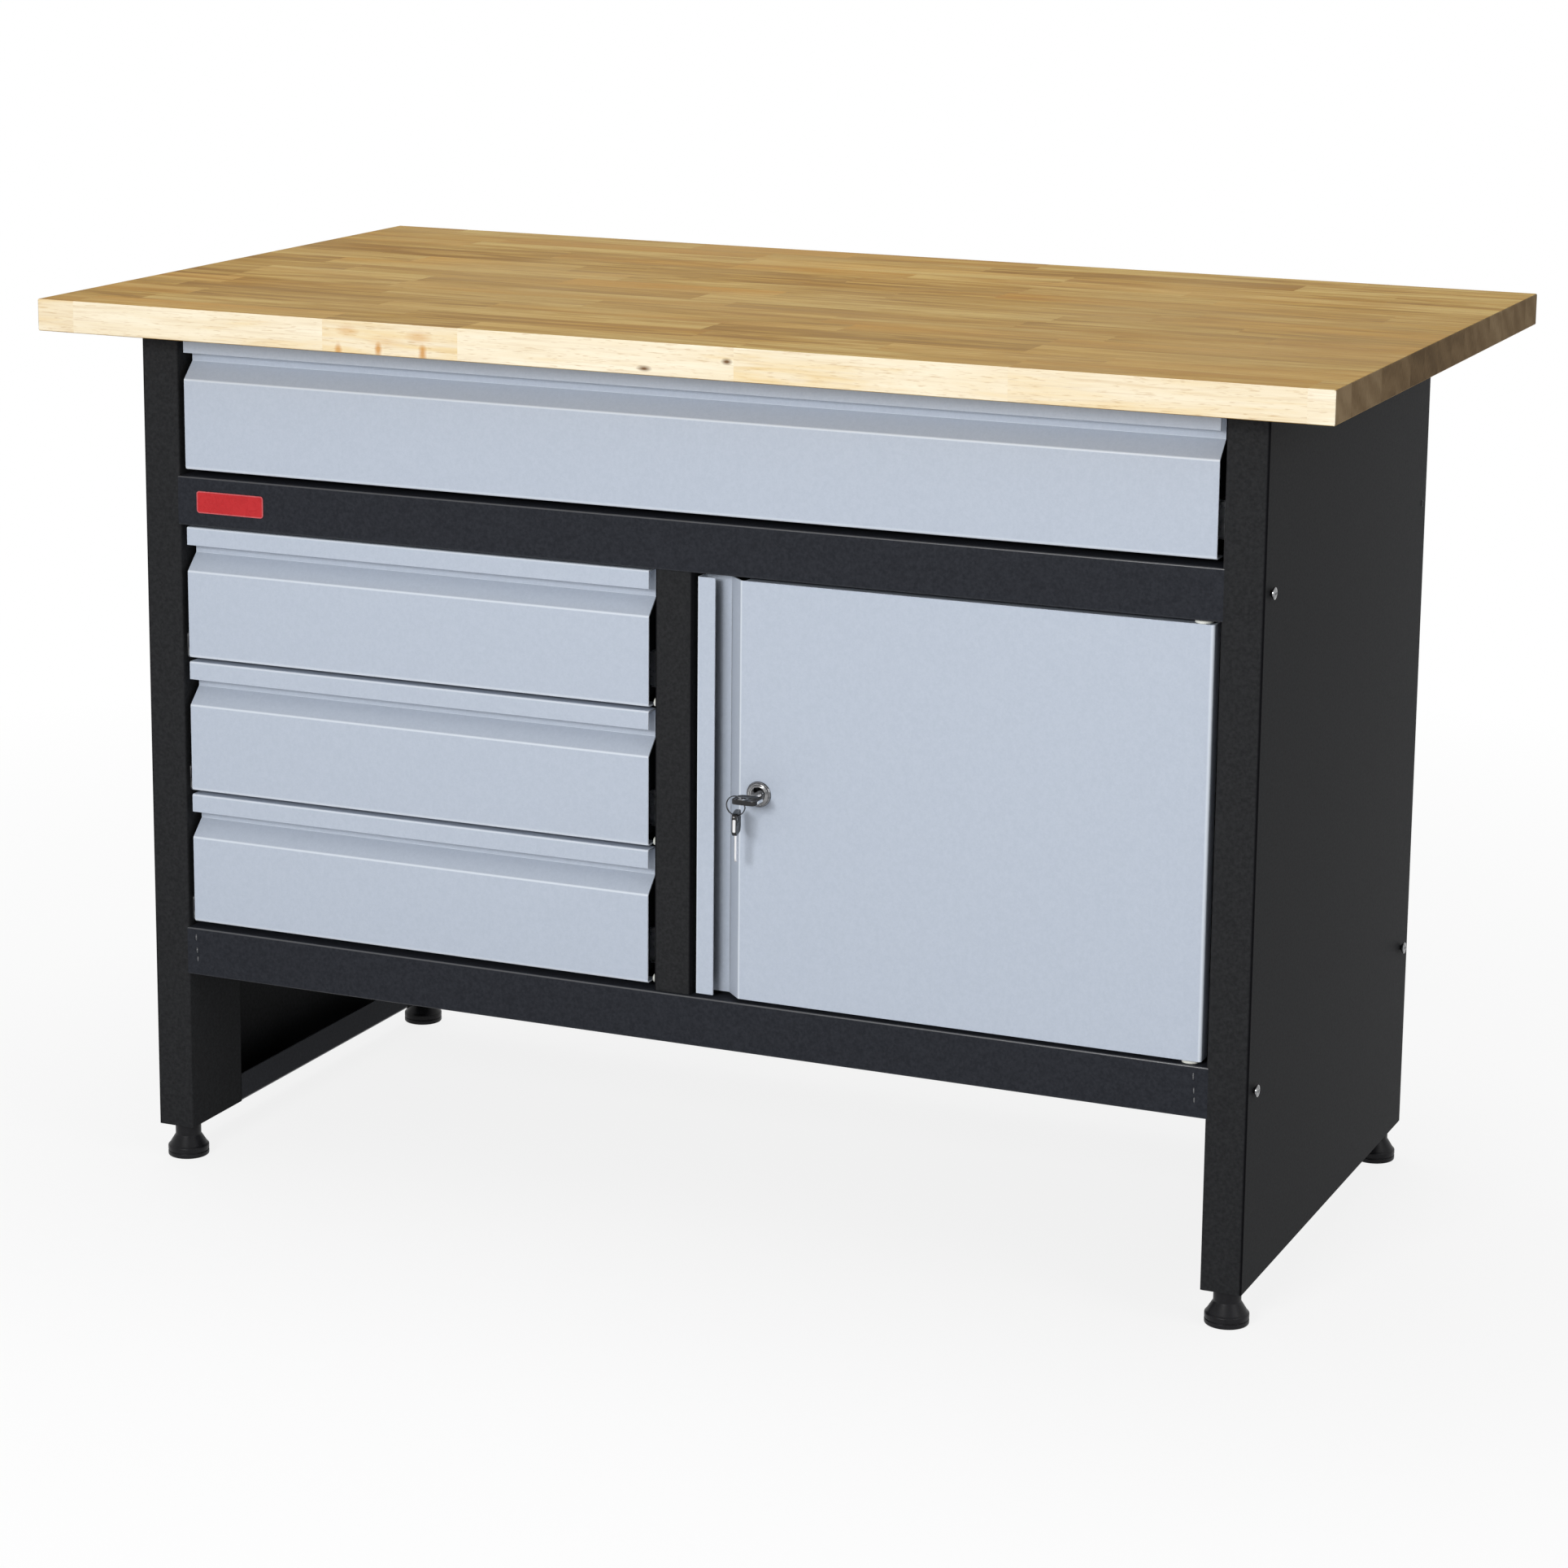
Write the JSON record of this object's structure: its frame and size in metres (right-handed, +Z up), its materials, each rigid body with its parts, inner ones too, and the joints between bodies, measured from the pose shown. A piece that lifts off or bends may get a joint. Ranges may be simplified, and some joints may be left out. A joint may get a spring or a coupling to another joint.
{
  "type": "workbench with drawers and a cupboard",
  "caption": "Steel workbench with a solid wood top, a wide drawer, stacked small drawers and a lockable cupboard with a hinged door, on levelling feet.",
  "frame": {"origin": "on the floor under the middle of the wood top", "axes": "+X along the bench to the right seen from the front, +Y to the back, +Z up"},
  "size_m": [1.25, 0.7, 0.85],
  "materials": {
    "wood_top": "oiled hardwood staves",
    "black_paint": "satin powder coat",
    "silver_paint": "fine silver-grey paint",
    "zinc_steel": "zinc plated",
    "chrome": "polished",
    "black_plastic": "moulded",
    "white_nylon": "moulded",
    "red_plate": "gloss enamel"
  },
  "bodies": {
    "carcass": {"worktop": "wood_top", "left_side_frame": "black_paint", "right_side_frame": "black_paint", "lower_rail": "black_paint", "middle_rail": "black_paint", "rear_lower_rail": "black_paint", "rear_top_rail": "black_paint", "back_panel": "black_paint", "cabinet_floor": "black_paint", "centre_post": "black_paint", "divider_panel": "black_paint", "cupboard_shelf": "black_paint", "left_shelf_ledge": "black_paint", "right_shelf_ledge": "black_paint", "left_top_angle": "black_paint", "right_top_angle": "black_paint", "name_plate": "red_plate", "hinge_washer": "white_nylon", "wide_drawer_left_runner": "zinc_steel", "wide_drawer_right_runner": "zinc_steel", "upper_drawer_left_runner": "zinc_steel", "upper_drawer_right_runner": "zinc_steel", "middle_drawer_left_runner": "zinc_steel", "middle_drawer_right_runner": "zinc_steel", "lower_drawer_left_runner": "zinc_steel", "lower_drawer_right_runner": "zinc_steel"},
    "wide_drawer": {"wide_drawer_front": "silver_paint", "wide_drawer_box": "black_paint", "wide_drawer_left_slide": "zinc_steel", "wide_drawer_right_slide": "zinc_steel"},
    "upper_drawer": {"upper_drawer_front": "silver_paint", "upper_drawer_box": "black_paint", "upper_drawer_left_slide": "zinc_steel", "upper_drawer_right_slide": "zinc_steel"},
    "middle_drawer": {"middle_drawer_front": "silver_paint", "middle_drawer_box": "black_paint", "middle_drawer_left_slide": "zinc_steel", "middle_drawer_right_slide": "zinc_steel"},
    "lower_drawer": {"lower_drawer_front": "silver_paint", "lower_drawer_box": "black_paint", "lower_drawer_left_slide": "zinc_steel", "lower_drawer_right_slide": "zinc_steel"},
    "door": {"door_panel": "silver_paint", "upper_hinge_pin": "zinc_steel", "lower_hinge_pin": "zinc_steel", "lock_barrel": "chrome"},
    "lock_core": {"lock_plug": "chrome", "lock_cam": "zinc_steel", "key": "black_plastic"},
    "ring": {"key_ring": "chrome"},
    "hanging_key": {"spare_key": "black_plastic"},
    "front_left_foot_screw": {"front_left_foot": "black_plastic", "front_left_foot_stud": "zinc_steel"},
    "front_right_foot_screw": {"front_right_foot": "black_plastic", "front_right_foot_stud": "zinc_steel"},
    "back_left_foot_screw": {"back_left_foot": "black_plastic", "back_left_foot_stud": "zinc_steel"},
    "back_right_foot_screw": {"back_right_foot": "black_plastic", "back_right_foot_stud": "zinc_steel"}
  },
  "joints": [
    {"name": "wide_drawer_pull", "type": "slide", "parent": "carcass", "child": "wide_drawer", "axis": [0, -1, 0], "range_m": [0, 0.36]},
    {"name": "upper_drawer_pull", "type": "slide", "parent": "carcass", "child": "upper_drawer", "axis": [0, -1, 0], "range_m": [0, 0.36]},
    {"name": "middle_drawer_pull", "type": "slide", "parent": "carcass", "child": "middle_drawer", "axis": [0, -1, 0], "range_m": [0, 0.36]},
    {"name": "lower_drawer_pull", "type": "slide", "parent": "carcass", "child": "lower_drawer", "axis": [0, -1, 0], "range_m": [0, 0.36]},
    {"name": "door_hinge", "type": "hinge", "parent": "carcass", "child": "door", "pos_m": [0.496, -0.276, 0.239], "axis": [0, 0, 1], "range_deg": [0, 110]},
    {"name": "lock_turn", "type": "hinge", "parent": "door", "child": "lock_core", "pos_m": [0.086, -0.285, 0.43675], "axis": [0, -1, 0], "range_deg": [0, 90]},
    {"name": "ring_hang", "type": "hinge", "parent": "lock_core", "child": "ring", "pos_m": [0.076, -0.314, 0.43675], "axis": [0, -1, 0], "range_deg": [-90, 0]},
    {"name": "spare_key_swing", "type": "hinge", "parent": "ring", "child": "hanging_key", "pos_m": [0.076, -0.314, 0.42264], "axis": [0.9703, 0.2419, 0], "range_deg": [-25, 25]},
    {"name": "front_left_foot_turn", "type": "hinge", "parent": "carcass", "child": "front_left_foot_screw", "pos_m": [-0.533, -0.265, 0], "axis": [0, 0, 1], "range_deg": [0, 1440]},
    {"name": "front_right_foot_turn", "type": "hinge", "parent": "carcass", "child": "front_right_foot_screw", "pos_m": [0.533, -0.265, 0], "axis": [0, 0, 1], "range_deg": [0, 1440]},
    {"name": "back_left_foot_turn", "type": "hinge", "parent": "carcass", "child": "back_left_foot_screw", "pos_m": [-0.533, 0.218, 0], "axis": [0, 0, 1], "range_deg": [0, 1440]},
    {"name": "back_right_foot_turn", "type": "hinge", "parent": "carcass", "child": "back_right_foot_screw", "pos_m": [0.533, 0.218, 0], "axis": [0, 0, 1], "range_deg": [0, 1440]}
  ],
  "couplings": [
    {"joint": "ring_hang", "follows": "lock_turn", "ratio": -1}
  ]
}
